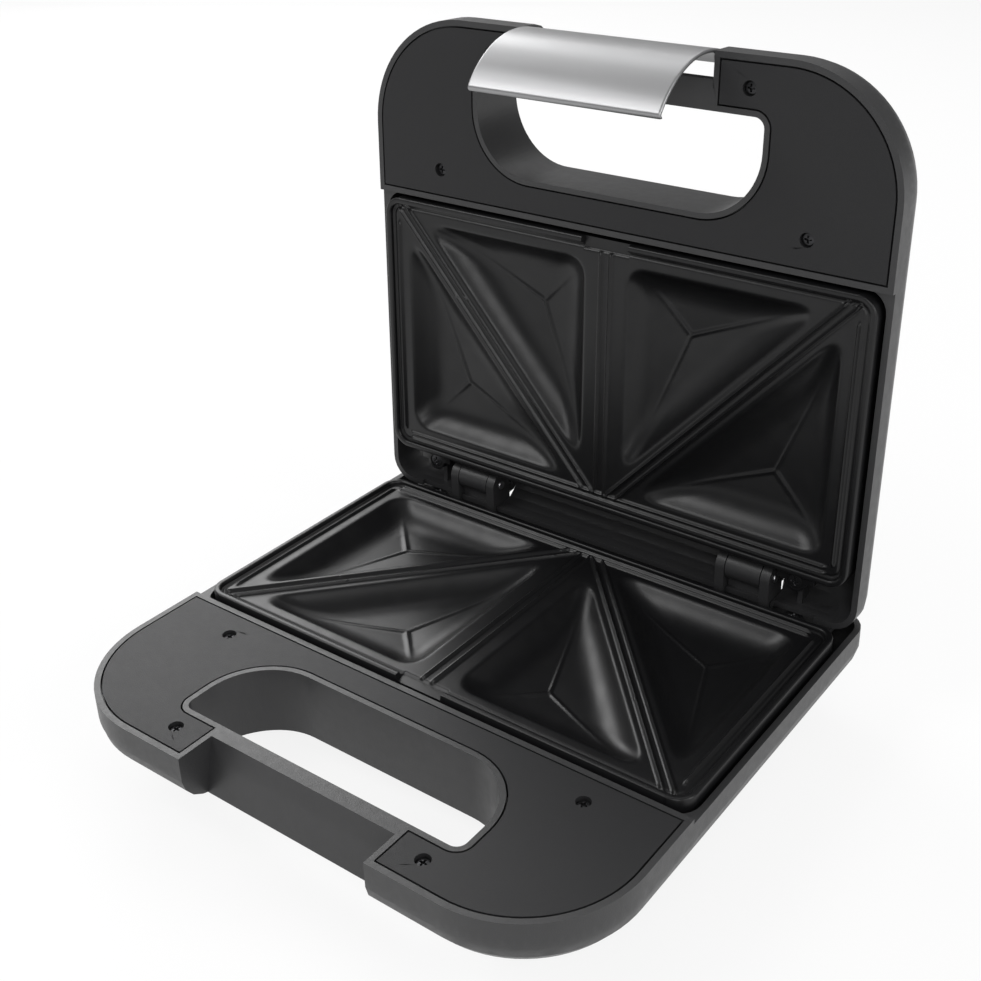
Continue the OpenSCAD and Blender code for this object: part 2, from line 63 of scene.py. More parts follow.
# %% Places
PART_Z = 40.2
HINGE_Y, HINGE_Z = 130.5, 48.2
OPENING = math.radians(92)
MID_Y = 45.61256
print("hinge line at", HINGE_Y, HINGE_Z, "mm, opened by", round(math.degrees(OPENING)), "degrees")


def on_base(p):
    """Slides drawing millimetres back by MID_Y and turns them into metres."""
    return (p - [0, MID_Y, 0]) / 1000


def swing(p):
    """Turns points about the hinge line by the opening angle, then does as on_base."""
    y, z = p[..., 1] - HINGE_Y, p[..., 2] - HINGE_Z
    c, s = math.cos(OPENING), math.sin(OPENING)
    return on_base(np.stack([p[..., 0], HINGE_Y + c * y + s * z, HINGE_Z - s * y + c * z], -1))


def on_lid(p):
    """Mirrors points in the parting plane (z becomes 2 PART_Z - z) and swings them open."""
    return swing(p * [1, 1, -1] + [0, 0, 2 * PART_Z])


# %% [markdown]
# ## From grids to meshes
#
# Every new surface is a grid of points. `sheet` cuts each cell of the grid into two triangles.
# `weld` joins points that share a place, so seams and poles close and collapsed cells vanish.
# `build` then makes the Blender mesh. It measures the volume and turns the faces round if the
# volume is negative, so every closed piece has its faces outwards, also after a mirror. Editing
# operators could do the same, but arrays are quick and give the same mesh in each run.

# %% Grids


def sheet(points, falling=None):
    """Triangles of a grid of points (rows, columns, 3), two to a cell.

    falling marks the columns whose cells are cut along the other diagonal.
    """
    rows, cols = points.shape[:2]
    k = np.arange(rows * cols).reshape(rows, cols)
    a, b, c, d = k[:-1, :-1], k[:-1, 1:], k[1:, 1:], k[1:, :-1]
    cut = np.zeros(a.shape, bool) if falling is None else np.broadcast_to(falling, a.shape)
    first = np.where(cut[..., None], np.stack([a, b, d], -1), np.stack([a, b, c], -1))
    second = np.where(cut[..., None], np.stack([b, c, d], -1), np.stack([a, c, d], -1))
    tris = np.concatenate([first.reshape(-1, 3), second.reshape(-1, 3)])
    return points.reshape(-1, 3), tris


def weld(*parts):
    """One point list and one triangle list, with points of the same place (to 1 um) joined."""
    base = np.cumsum([0] + [len(p) for p, _ in parts])
    points = np.concatenate([p for p, _ in parts])
    tris = np.concatenate([t + n for (_, t), n in zip(parts, base)])
    _, first, same = np.unique(np.round(points, 3), axis=0, return_index=True, return_inverse=True)
    tris = same.reshape(-1)[tris]
    flat = (tris[:, 0] == tris[:, 1]) | (tris[:, 1] == tris[:, 2]) | (tris[:, 2] == tris[:, 0])
    return points[first], tris[~flat]


# %% Meshes


def build(name, parts, body, material, place=on_base, nodes=(), crease=40):
    """Welds the parts, puts them in place and makes a smooth-shaded object riding on a body.

    Edges sharper than crease degrees stay sharp. nodes are the CAD nodes that it replaces.
    """
    points, tris = weld(*parts)
    points = place(points)
    a, b, c = (points[tris[:, i]] for i in range(3))
    volume = np.einsum("ij,ij->i", a, np.cross(b, c)).sum() / 6
    tris = tris if volume > 0 else tris[:, ::-1]
    mesh = bpy.data.meshes.new(name)
    mesh.vertices.add(len(points))
    mesh.vertices.foreach_set("co", points.astype(np.float32).ravel())
    mesh.loops.add(3 * len(tris))
    mesh.loops.foreach_set("vertex_index", tris.astype(np.int32).ravel())
    mesh.polygons.add(len(tris))
    mesh.polygons.foreach_set("loop_start", np.arange(0, 3 * len(tris), 3, dtype=np.int32))
    mesh.update(calc_edges=True)
    mesh.validate()
    mesh.polygons.foreach_set("use_smooth", np.ones(len(mesh.polygons), bool))
    mesh.set_sharp_from_angle(angle=math.radians(crease))
    piece = bpy.data.objects.new(name, mesh)
    bpy.context.collection.objects.link(piece)
    mesh.materials.append(material)
    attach(piece, body)
    if nodes:
        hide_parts(*nodes)
    print(f"{name}: {len(tris)} triangles, {abs(volume) * 1e6:.2f} cm3")
    return piece


# %% [markdown]
# ## Finishes
#
# The real toaster is almost all black, so its finishes differ by how they scatter light. A
# picture could be wrapped round each piece, but noises on the piece's own coordinates need no
# seams and stay sharp close up. Each recipe mixes two close colours over broad patches, varies
# the roughness a little, and adds a bump at the scale of the real grain. Constant values are set
# on the shader's own sockets.

# %% Finish recipe
COARSER = 6
COAT_ROUGHNESS = 0.2


def noise_factor(tree, where, scale, detail):
    """The factor of a noise texture read at the coordinates of a socket."""
    texture = tree.nodes.new("ShaderNodeTexNoise")
    texture.inputs["Scale"].default_value = scale
    texture.inputs["Detail"].default_value = detail
    tree.links.new(where, texture.inputs["Vector"])
    return texture.outputs["Fac"]


def finish(
    name, colour, tint, rough, grain, bump,
    metal=0.0, coat=0.0, patch=35, spread=0.06, stretch=None, shine=0.5,
):
    """A principled shader with three noises on Object coordinates.

    Broad patches mix colour and tint. A noise COARSER than the grain moves roughness by spread
    either way. A fine noise of that grain (waves per metre) lifts the surface by bump metres.
    stretch scales the coordinates of the last two, which draws them out into brushed lines.
    """
    m = bpy.data.materials.new(name)
    m.use_nodes = True
    m.diffuse_color = (*colour, 1)
    tree, shader = m.node_tree, m.node_tree.nodes["Principled BSDF"]
    new, link = tree.nodes.new, tree.links.new
    shader.inputs["Metallic"].default_value = metal
    shader.inputs["Coat Weight"].default_value = coat
    shader.inputs["Coat Roughness"].default_value = COAT_ROUGHNESS
    shader.inputs["Specular IOR Level"].default_value = shine
    place = fine_place = new("ShaderNodeTexCoord").outputs["Object"]
    if stretch:
        turn = new("ShaderNodeMapping")
        turn.inputs["Scale"].default_value = stretch
        link(place, turn.inputs["Vector"])
        fine_place = turn.outputs["Vector"]
    mix = new("ShaderNodeMix")
    mix.data_type = "RGBA"
    mix.inputs["A"].default_value = (*colour, 1)
    mix.inputs["B"].default_value = (*tint, 1)
    link(noise_factor(tree, place, patch, 3), mix.inputs["Factor"])
    link(mix.outputs["Result"], shader.inputs["Base Color"])
    span = new("ShaderNodeMapRange")
    span.inputs["From Min"].default_value = 0.3
    span.inputs["From Max"].default_value = 0.7
    span.inputs["To Min"].default_value = rough - spread
    span.inputs["To Max"].default_value = rough + spread
    link(noise_factor(tree, fine_place, grain / COARSER, 2), span.inputs["Value"])
    link(span.outputs["Result"], shader.inputs["Roughness"])
    lift = new("ShaderNodeBump")
    lift.inputs["Strength"].default_value = 1.0
    lift.inputs["Distance"].default_value = bump
    link(noise_factor(tree, fine_place, grain, 2), lift.inputs["Height"])
    link(lift.outputs["Normal"], shader.inputs["Normal"])
    return m


# %% [markdown]
# ## What this toaster is finished in
#
# The casing is moulded plastic with a fine spark-eroded grain. The cover panels have a closer,
# duller grain. The cooking plates have a sprayed non-stick coat with a slight orange peel, and
# the clip a satin silver lacquer with lines along its length. `grey` spares writing the same
# number three times: a black plastic is a grey that is a touch bluer.

# %% Finishes that are seen


def grey(level, blue=0.001):
    """A grey of one level, a little stronger in blue."""
    return (level, level, level + blue)


CASING = finish("moulded_black", grey(0.024), grey(0.0255), 0.42, 1900, 0.00005, spread=0.03)
PANEL = finish("cover_black", grey(0.0185), grey(0.0195), 0.5, 2600, 0.00004, spread=0.02, shine=0.25)
PLATE = finish(
    "non_stick", grey(0.0055, 0.0005), grey(0.006, 0.0005), 0.34, 900, 0.00002,
    patch=22, spread=0.03, shine=0.35,
)
SCREW = finish("black_zinc", grey(0.035, 0.002), grey(0.055, 0.003), 0.34, 2500, 0.00003, metal=0.9)
STEEL = finish("turned_steel", grey(0.55, 0.02), grey(0.66, 0.02), 0.3, 1500, 0.00003, metal=1.0)
SILVER = finish(
    "satin_silver", grey(0.31, 0.005), grey(0.335, 0.005), 0.42, 700, 0.00001,
    metal=0.9, stretch=(0.06, 1, 1),
)
RUBBER = finish("rubber", (0.022, 0.022, 0.022), (0.034, 0.033, 0.032), 0.78, 1200, 0.00009)
RED = finish("red_lens", (0.42, 0.015, 0.012), (0.52, 0.03, 0.02), 0.16, 300, 0.00002, coat=0.6)
GREEN = finish("green_lens", (0.02, 0.26, 0.045), (0.03, 0.34, 0.07), 0.16, 300, 0.00002, coat=0.6)

# %% Finishes inside
ROD = finish("oxidised_rod", (0.12, 0.11, 0.10), (0.22, 0.17, 0.13), 0.55, 800, 0.00006, metal=0.8)
CERAMIC = finish("porcelain", (0.72, 0.70, 0.65), (0.80, 0.78, 0.73), 0.62, 1100, 0.00005)
ZINC = finish("zinc_strap", grey(0.56, 0.02), grey(0.68, 0.02), 0.36, 500, 0.00003, metal=1.0)
TIN = finish("tinplate", grey(0.62, 0.02), grey(0.74, 0.02), 0.26, 400, 0.00003, metal=1.0)
CUP = finish("plated_cup", (0.52, 0.47, 0.38), (0.64, 0.58, 0.48), 0.34, 700, 0.00003, metal=1.0)
NYLON = finish("ivory_nylon", (0.70, 0.67, 0.58), (0.78, 0.75, 0.66), 0.48, 900, 0.00005)
print("finishes:", len(bpy.data.materials))

# %% [markdown]
# ## Camera
#
# The camera stands in front of the toaster, to its right and above. Its place and focal length
# come from matching the corners of the plates and the screws with their pixels. Turning a camera
# by eye is quicker, but leaves its error unknown. This match is off by about 24 pixels on average,
# because no single view met all the corners. The small shift is the photograph's framing.

# %% Camera
FOCAL_PX, FRAME_PX, SENSOR_MM = 1364.7, 981, 36.0
RIGHT = (0.81391876, 0.58084073, -0.01266095)
UP = (-0.24573277, 0.36392330, 0.89842932)
BACK = (0.52645196, -0.72813726, 0.43893560)
EYE_PLACE = (0.272813, -0.340664, 0.343130)
eye = bpy.data.cameras.new("eye")
eye.sensor_width = SENSOR_MM
eye.lens = FOCAL_PX / FRAME_PX * SENSOR_MM
eye.shift_x, eye.shift_y = -0.049, -0.0722
camera = bpy.data.objects.new("camera", eye)
bpy.context.collection.objects.link(camera)
pose = np.eye(4)
pose[:3, 0], pose[:3, 1], pose[:3, 2], pose[:3, 3] = RIGHT, UP, BACK, EYE_PLACE
camera.matrix_world = Matrix(pose.tolist())
bpy.context.scene.camera = camera
bpy.context.scene.view_settings.view_transform = "Standard"
print("focal length in mm:", round(eye.lens, 1))

# %% [markdown]
# ## Casings: shorter triangles
#
# A casing is one injection moulding: a shallow tray round the plate, a looped handle and a
# pillowed underside. The CAD node has its plan, walls and seats, but its mesh has long flat
# triangles, which can't bend. So a copy is cut into short ones first. A Subdivision Surface
# would round its corners away. Halving only the long edges keeps the shape, and round corners
# get rounder because the middle of a short chord is pushed out to its arc.

# %% Sizes of a casing
CASE_HALF, CASE_FRONT, CASE_REAR = 116.0, -71.0, 142.0
FRONT_ROUND, REAR_ROUND = 45.0, 11.0
HOLE_HALF, HOLE_REAR, HOLE_ROUND = 63.0, -12.5, 25.0
ARC_CENTRES = [
    (CASE_HALF - FRONT_ROUND, CASE_FRONT + FRONT_ROUND, -1),
    (CASE_HALF - REAR_ROUND, CASE_REAR - REAR_ROUND, 1),
    (HOLE_HALF - HOLE_ROUND, HOLE_REAR - HOLE_ROUND, 1),
]
LONGEST, ARC_CHORD, ARC_MATCH = 6.0, 16.0, 0.03
print("centres of the round corners:", ARC_CENTRES)

# %% Short triangles


def halfway(a, b):
    """Middle points of edges. A short chord of one of the casing's round corners in plan, with
    both ends equally far from the corner's centre, has its middle pushed out to that radius."""
    m = (a + b) / 2
    for cx, cy, front in ARC_CENTRES:
        u, v, w = ((np.abs(q[:, 0]) - cx, (q[:, 1] - cy) * front) for q in (a, b, m))
        ra, rb, rm = (np.hypot(*q) for q in (u, v, w))
        outer = (np.minimum(u, v) > -0.1).all(0) & (rm > 1) & (a[:, 0] * b[:, 0] > 0)
        chord = np.hypot(u[0] - v[0], u[1] - v[1])
        hit = outer & (np.abs(ra - rb) < ARC_MATCH) & (chord < ARC_CHORD)
        grow = np.where(hit, ra / np.maximum(rm, 1), 1)
        m[:, 0] = np.sign(m[:, 0]) * (cx + grow * w[0])
        m[:, 1] = cy + front * grow * w[1]
    return m


def refine(points, tris, longest):
    """Halves every edge above a length until none is left.

    A triangle with one, two or three halved edges becomes two, three or four triangles. Both
    neighbours of an edge use the same middle point, so the surface stays closed.
    """
    while True:
        ends = np.sort(np.stack([tris, np.roll(tris, -1, 1)], -1), -1).reshape(-1, 2)
        edges, which = np.unique(ends, axis=0, return_inverse=True)
        long = np.linalg.norm(points[edges[:, 0]] - points[edges[:, 1]], axis=1) > longest
        if not long.any():
            return points, tris
        middle = np.where(long, len(points) + np.cumsum(long) - 1, -1)[which.reshape(-1, 3)]
        points = np.concatenate([points, halfway(points[edges[long, 0]], points[edges[long, 1]])])
        cut = middle >= 0
        count = cut.sum(1)
        first = np.where(count == 2, (cut.argmin(1) + 1) % 3, cut.argmax(1))
        turn = (first[:, None] + np.arange(3)) % 3
        a, b, c = np.take_along_axis(tris, turn, 1).T
        ab, bc, ca = np.take_along_axis(middle, turn, 1).T
        one, two, three = (count == k for k in (1, 2, 3))
        pieces = [(count == 0, a, b, c), (one, a, ab, c), (one, ab, b, c)]
        pieces += [(two, ab, b, bc), (two, a, ab, bc), (two, a, bc, c)]
        pieces += [(three, a, ab, ca), (three, ab, b, bc), (three, ca, bc, c), (three, ab, bc, ca)]
        tris = np.concatenate([np.stack([u[k], v[k], w[k]], 1) for k, u, v, w in pieces])


# %% [markdown]
# ## The pillowed underside
#
# The real handles are cushions: the outer wall is thin, and the underside swells towards the
# middle, so the finger opening is about 28 mm deep at its rear. A lattice could bend the copy,
# but one formula does it for every point: the deeper a point lies inside the outline, the lower
# it goes.

# %% Pillow
UNDER_Z, BELLY_Z, STILL_Z = 20.0, 4.0, 30.0
SWELL, SWELL_REACH = 10.0, 55.0


def casing_inset(x, y):
    """Distance inwards from the casing's outline, which has two corner radii."""
    d = np.minimum(CASE_HALF - np.abs(x), np.minimum(y - CASE_FRONT, CASE_REAR - y))
    front_side, rear_side = CASE_FRONT + FRONT_ROUND - y, y - CASE_REAR + REAR_ROUND
    for r, side in ((FRONT_ROUND, front_side), (REAR_ROUND, rear_side)):
        u = np.abs(x) - CASE_HALF + r
        d = np.where((u > 0) & (side > 0), r - np.hypot(u, side), d)
    return d


def pillow(p):
    """Lowers the underside by SWELL times a parabola of the inset.

    The full drop is at UNDER_Z. It fades to nothing at the belly's flat and at STILL_Z above.
    """
    x, y, z = p.T
    drop = SWELL * (1 - (1 - np.clip(casing_inset(x, y) / SWELL_REACH, 0, 1)) ** 2)
    below, above = (z - BELLY_Z) / (UNDER_Z - BELLY_Z), (STILL_Z - z) / (STILL_Z - UNDER_Z)
    share = np.where(z < UNDER_Z, below, above)
    return np.stack([x, y, z - drop * np.clip(share, 0, 1)], 1)


print("underside lowered by up to", SWELL, "mm, from", SWELL_REACH, "mm inside the outline on")

# %% [markdown]
# ## Beams, slots and screw holes
#
# Between the finger opening and the notch for the clip a handle is a narrow beam. The lower beam
# is one slope in front, the upper one stands forward a little at the top. The slots for the hinge
# cheeks end where the cheeks end, and the holes over the cover screws are small. Each of these is
# a few points of the copy that slide, which keeps the mesh closed. Cutting and joining again
# could leave gaps.

# %% Sliding points
NOTCH_HALF, BEAM_Y, LEDGE_Y, LEDGE_TOP, PANEL_Z = 42.0, -54.0, -61.0, 22.4, 38.0
BEAM_TOP_Y = -56.0
BEAM_NOSE, NOSE_Z, NOSE_FADE = 7.0, 33.5, 3.5
SLOT_X, SLOT_HALF, SLOT_DEEP_Z, SLOT_LEFT = (58.0, 78.0), 2.35, 23.0, 0.02
PANEL_SCREWS = [(-82.5, -10.0), (82.5, -10.0), (-56.3, -59.5), (56.3, -59.5)]
DISH_SHARE, DISH_REACH = 0.74, 4.2
NEAR = 0.02


def small_dishes(p):
    """Draws the cover panel's four screw holes in, to DISH_SHARE of their radius."""
    p = p.copy()
    for centre in PANEL_SCREWS:
        away = p[:, :2] - centre
        near = np.hypot(*away.T) < DISH_REACH
        p[near, :2] = centre + DISH_SHARE * away[near]
    return p


def narrow_slots(p):
    """Closes the deep ends of the slots in the upper casing's rear wall, where no cheek comes."""
    x, y, z = p.T.copy()
    for middle in SLOT_X:
        off = np.abs(x) - middle
        here = (np.abs(off) < SLOT_HALF + 0.05) & (y > HINGE_Y - 0.1) & (z < SLOT_DEEP_Z)
        x = np.where(here, np.sign(x) * (middle + np.clip(off, -SLOT_LEFT, SLOT_LEFT)), x)
    return np.stack([x, y, z], 1)


def beam_nose(p):
    """Draws the top of the upper handle's beam forward by BEAM_NOSE, clear of the clip's ears.

    The part of the face above NOSE_Z moves fully, the part NOSE_FADE below it not at all.
    """
    x, y, z = p.T.copy()
    face = (np.abs(x) < NOTCH_HALF + NEAR) & (np.abs(y - BEAM_Y) < NEAR) & (z < PANEL_Z + NEAR)
    share = np.clip((z - NOSE_Z + NOSE_FADE) / NOSE_FADE, 0, 1)
    return np.stack([x, np.where(face, y - BEAM_NOSE * share, y), z], 1)


# %% Sloping beam


def sloping_beam(p):
    """Turns the stepped front of the lower handle's beam into one sloping face.

    The step runs down the face, out along the ledge and down again. A point's way along it
    becomes its way along the straight slope. The notch's side walls are trimmed to the slope.
    """
    x, y, z = p.T.copy()
    inside = (np.abs(x) < NOTCH_HALF + NEAR) & (z > UNDER_Z - NEAR)
    inside &= (y > LEDGE_Y - NEAR) & (y < BEAM_Y + NEAR)
    face = inside & (np.abs(y - BEAM_Y) < NEAR)
    ledge = inside & ~face & (np.abs(z - LEDGE_TOP) < NEAR)
    front = inside & ~face & ~ledge & (np.abs(y - LEDGE_Y) < NEAR)
    way = np.where(face, PANEL_Z - z, np.where(ledge, PANEL_Z - LEDGE_TOP + BEAM_Y - y, 0))
    way = np.where(front, PANEL_Z - LEDGE_TOP + BEAM_Y - LEDGE_Y + LEDGE_TOP - z, way)
    part = way / (PANEL_Z - UNDER_Z + BEAM_Y - LEDGE_Y)
    step = face | ledge | front
    slope_z = PANEL_Z - (PANEL_Z - UNDER_Z) * part
    slope_y = BEAM_TOP_Y + (LEDGE_Y - BEAM_TOP_Y) * part
    own_y = BEAM_TOP_Y + (LEDGE_Y - BEAM_TOP_Y) * (PANEL_Z - z) / (PANEL_Z - UNDER_Z)
    wall = inside & ~step & (np.abs(np.abs(x) - NOTCH_HALF) < NEAR)
    y = np.where(step, slope_y, np.where(wall, np.minimum(y, own_y), y))
    return np.stack([x, y, np.where(step, slope_z, z)], 1)


# %% [markdown]
# ## Casings and cover panels
#
# The copies are shaded smooth except at real corners and get a narrow bevel, because no moulded
# edge is perfectly sharp and light catches there. The cover panels sit in the handles with a
# thin dark seam all round, so their own edges stay crisper. Weighted normals keep the big flat
# faces flat beside their bevels.

# %% Dress the CAD mouldings
CASING_EDGE, PANEL_EDGE = 0.0007, 0.0002
SMOOTH_TO, BEVEL_FROM = 28, 50


def off_base(p):
    """Undoes on_base."""
    return p * 1000 + [0, MID_Y, 0]


def off_lid(p):
    """Undoes on_lid: swings the points shut and mirrors them into the lower half's drawing."""
    q = off_base(p)
    y, z = q[:, 1] - HINGE_Y, q[:, 2] - HINGE_Z
    c, s = math.cos(OPENING), math.sin(OPENING)
    return np.stack([q[:, 0], HINGE_Y + c * y - s * z, 2 * PART_Z - HINGE_Z - s * y - c * z], 1)


def dress(node, body, material, width, shapes):
    """A welded copy of a CAD node, changed by shapes, with its edges rounded by width metres."""
    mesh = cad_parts[node].data
    xyz = np.empty(3 * len(mesh.vertices), np.float32)
    mesh.vertices.foreach_get("co", xyz)
    corners = np.empty(len(mesh.loops), np.int32)
    mesh.loops.foreach_get("vertex_index", corners)
    off, on = (off_base, on_base) if body == "base" else (off_lid, on_lid)
    points, tris = weld((off(xyz.reshape(-1, 3).astype(float)), corners.reshape(-1, 3)))
    points, tris = refine(points, tris, LONGEST)
    for shape in shapes:
        points = shape(points)
    piece = build(node + "_moulding", [(points, tris)], body, material, on, [node], SMOOTH_TO)
    soft = piece.modifiers.new("moulded edges", "BEVEL")
    soft.width, soft.segments, soft.limit_method = width, 2, "ANGLE"
    soft.angle_limit = math.radians(BEVEL_FROM)
    soft.harden_normals = False
    even = piece.modifiers.new("even shading", "WEIGHTED_NORMAL")
    even.keep_sharp = True


dress("base_shell", "base", CASING, CASING_EDGE, [sloping_beam, pillow])
dress("lid_shell", "lid", CASING, CASING_EDGE, [narrow_slots, beam_nose, pillow])
dress("base_panel", "base", PANEL, PANEL_EDGE, [small_dishes])
dress("lid_panel", "lid", PANEL, PANEL_EDGE, [small_dishes])

# %% [markdown]
# ## Cooking plates: the pockets
#
# Each plate is a casting with four triangular pockets. A pocket has a rounded lip, a wall that
# starts steep and eases out, and a shallow floor of three planes. A thin rib stands on each of
# its three creases, which meet in a Y. Cutting pyramids out of a block would give flat walls
# with sharp edges. Here the depth is a formula of the distances to the three sides, so walls and
# corners ease into each other as in the casting.

# %% Plate layout
HALF_W, FRONT, REAR = 112.0, 5.0, 122.0
CORNER, LAND_Z, SKIRT_Z = 8.0, 38.4, 31.0
DIAG = (-106.0, 6.0)
SLOPE = 112 / (HALF_W - 9)
STEEP = math.hypot(1, SLOPE)
RIB_HALF = 5.5
OUTER_CORNER, INNER_CORNER = (-100.0, 111.0), (-10.0, 14.0)
WALL_W, FLOOR_SLOPE, LIP_SLOPE, WALL_POWER, LIP = 15.0, 0.07, 1.35, 1.9, 0.3
POCKET_ROUND, FLOOR_ROUND = 9.0, 1.0
CREASE_HALF, CREASE_HEIGHT = 1.8, 0.7


def triangle(outer):
    """The right-angled pocket outline: its square corner, then the two sharp ones."""
    x, y = OUTER_CORNER if outer else INNER_CORNER
    k = RIB_HALF * STEEP * (1 if outer else -1)
    upright = [x, DIAG[1] + (x - DIAG[0]) * SLOPE + k]
    level = [(y - k - DIAG[1]) / SLOPE + DIAG[0], y]
    return np.array([[x, y], upright, level])


print("corners of the outer pocket:", triangle(True).round(1).tolist())

# %% Pocket depth


def inset(x, y, corners):
    """Distance inwards from each side of a triangle, as an array with the sides first."""
    centre = corners.mean(0)
    a, b = corners, np.roll(corners, -1, 0)
    along = (b - a) / np.linalg.norm(b - a, axis=1)[:, None]
    normal = np.stack([-along[:, 1], along[:, 0]], 1)
    normal *= np.sign(np.einsum("ij,ij->i", normal, centre - a))[:, None]
    return np.stack([n[0] * (x - p[0]) + n[1] * (y - p[1]) for n, p in zip(normal, a)])


def soft_least(d, k):
    """The least of three distances, with the corner between any two rounded over k."""
    d = np.sort(d, axis=0)
    near = np.clip(k - (d[1] - d[0]), 0, None)
    return d[0] - near**2 / (4 * k)


def pocket_drop(x, y, corners):
    """Depth of a pocket: a wall whose slope eases from steep to the floor's, then the floor.

    The wall follows the rounded inset, the floor follows the sharp one, so that its creases
    fade out in the wall. A softplus rounds the lip. A narrow rib like a roof stands on each
    crease, where the two least insets are equal, and fades out towards the wall.
    """
    d = inset(x, y, corners)
    wall = LIP * np.logaddexp(0, soft_least(d, POCKET_ROUND) / LIP)
    t = 1 - np.clip(wall / WALL_W, 0, 1)
    drop = FLOOR_SLOPE * np.minimum(wall, WALL_W)
    drop += LIP_SLOPE * WALL_W / (WALL_POWER + 1) * (1 - t ** (WALL_POWER + 1))
    drop += FLOOR_SLOPE * np.clip(soft_least(d, FLOOR_ROUND) - WALL_W, 0, None)
    nearest = np.sort(d, axis=0)
    fade = np.clip((nearest[0] - 0.5 * WALL_W) / WALL_W, 0, 1)
    return drop - fade * CREASE_HEIGHT * np.clip(1 - (nearest[1] - nearest[0]) / CREASE_HALF, 0, 1)


def pockets(x, y):
    """Depths of the outer and of the inner pockets, mirrored in the plate's middle."""
    left = -np.abs(x)
    return pocket_drop(left, y, triangle(True)), pocket_drop(left, y, triangle(False))


deep = pocket_drop(*triangle(True).mean(0), triangle(True))
print("an outer pocket's depth at its centroid:", round(float(deep), 2), "mm")

# %% [markdown]
# ## Cooking plates: ribs and rim
#
# Pairs of thin ribs run along both diagonals and down the middle. They cut the sandwich and press
# its edges shut. Further ribs run along the rear and the sides, and a rounded rim closes the
# plate, with a gate in the middle of its front. All of this is one height over x and y: where
# two of them cross, the higher one counts, so they never pile up and the plates still meet.

# %% Plate face
RIB_PAIR, RIB_W, RIB_H = 1.9, 1.15, 1.3
VALLEY_W, VALLEY_H = 0.9, 0.5
MID_PAIR, MID_W, MID_H = 2.25, 1.0, 1.2
REAR_RIBS, REAR_W, REAR_H, REAR_END = (4.6, 7.4), 0.95, 1.2, 103
SIDE_IN, SIDE_W, SIDE_H = 6.7, 1.0, 1.1
RIM_H, RIM_MID, RIM_HALF = 1.6, 1.25, 1.45
GROOVE_IN, GROOVE_W, GROOVE_H = 3.9, 1.0, 0.5
GATE_HALF, GATE_BACK, GATE_DROP = 10.7, 5, 1
RIB_START, RIB_STOP, MID_START = 106.5, 5.5, 4.5
SIDE_START, SIDE_STOP, SIDE_RAMP = 10, 8, 2
GATE_SIDE, GATE_STEP, RAMP = 0.3, 0.4, 1.5


def ridge(distance, half, height):
    """A rounded rib: height times a squared cosine across its width."""
    return height * np.cos(np.clip(distance / half, -1, 1) * np.pi / 2) ** 2


def ramp(distance, length=RAMP):
    """Nought before the start of a distance, one after length, straight between."""
    return np.clip(distance / length, 0, 1)


def plate_height(x, y):
    """Height of the cooking face: land, less pockets, plus the highest of ribs and rim."""
    left = -np.abs(x)
    outer, inner = pockets(x, y)
    run = DIAG[1] + (left - DIAG[0]) * SLOPE
    off = np.abs(y - run) / STEEP
    inside = ramp(left + RIB_START) * ramp(REAR - RIB_STOP - y)
    ribs = ridge(off - RIB_PAIR, RIB_W, RIB_H) - ridge(off, VALLEY_W, VALLEY_H)
    middle = ridge(np.abs(x) - MID_PAIR, MID_W, MID_H) * ramp(y - FRONT - MID_START)
    ribs = np.maximum(ribs, middle)
    edge = np.minimum(HALF_W - np.abs(x), np.minimum(y - FRONT, REAR - y))
    near_rib, far_rib = (ridge(REAR - k - y, REAR_W, REAR_H) for k in REAR_RIBS)
    back = ramp(REAR_END - np.abs(x)) * (near_rib + far_rib)
    side = ridge(HALF_W - SIDE_IN - np.abs(x), SIDE_W, SIDE_H)
    side = side * ramp(y - FRONT - SIDE_START, SIDE_RAMP) * ramp(REAR - SIDE_STOP - y, SIDE_RAMP)
    rim = RIM_H * np.sqrt(np.clip(1 - ((edge - RIM_MID) / RIM_HALF) ** 4, 0, 1))
    raised = np.maximum(np.maximum(ribs * inside, rim), np.maximum(back, side))
    z = LAND_Z - outer - inner + raised - ridge(edge - GROOVE_IN, GROOVE_W, GROOVE_H)
    gate = ramp(GATE_HALF - np.abs(x), GATE_SIDE) * ramp(FRONT + GATE_BACK - y, GATE_STEP)
    return z + gate * (LAND_Z - GATE_DROP - z)


# %% [markdown]
# ## Cooking plates: the grid
#
# The grid's cells have the slope of the diagonal, so the diagonal ribs run cleanly through cell
# corners, and extra lines stand where a rim or rib needs them. A finer even grid would do the
# same with many times the triangles. The plate's square corners are pressed round afterwards.

# %% Plate grid
STEP, LINE_GAP = 0.72, 0.22


def grid_lines(low, high, start, step, extra):
    """Even lines through start, without those close to an extra line, plus the extras.

    The count is made odd, so that every second line makes the coarser grid of the underside.
    """
    count = math.ceil((low - start) / step), math.floor((high - start) / step)
    even = start + step * np.arange(count[0], count[1] + 1)
    extra = np.unique(np.round(np.r_[low, high, extra], 4))
    far = np.abs(even[:, None] - extra[None]).min(1) > LINE_GAP
    lines = np.sort(np.r_[even[far], extra])
    if len(lines) % 2:
        return lines
    third = len(lines) // 3
    return np.sort(np.r_[lines, (lines[third] + lines[third + 1]) / 2])


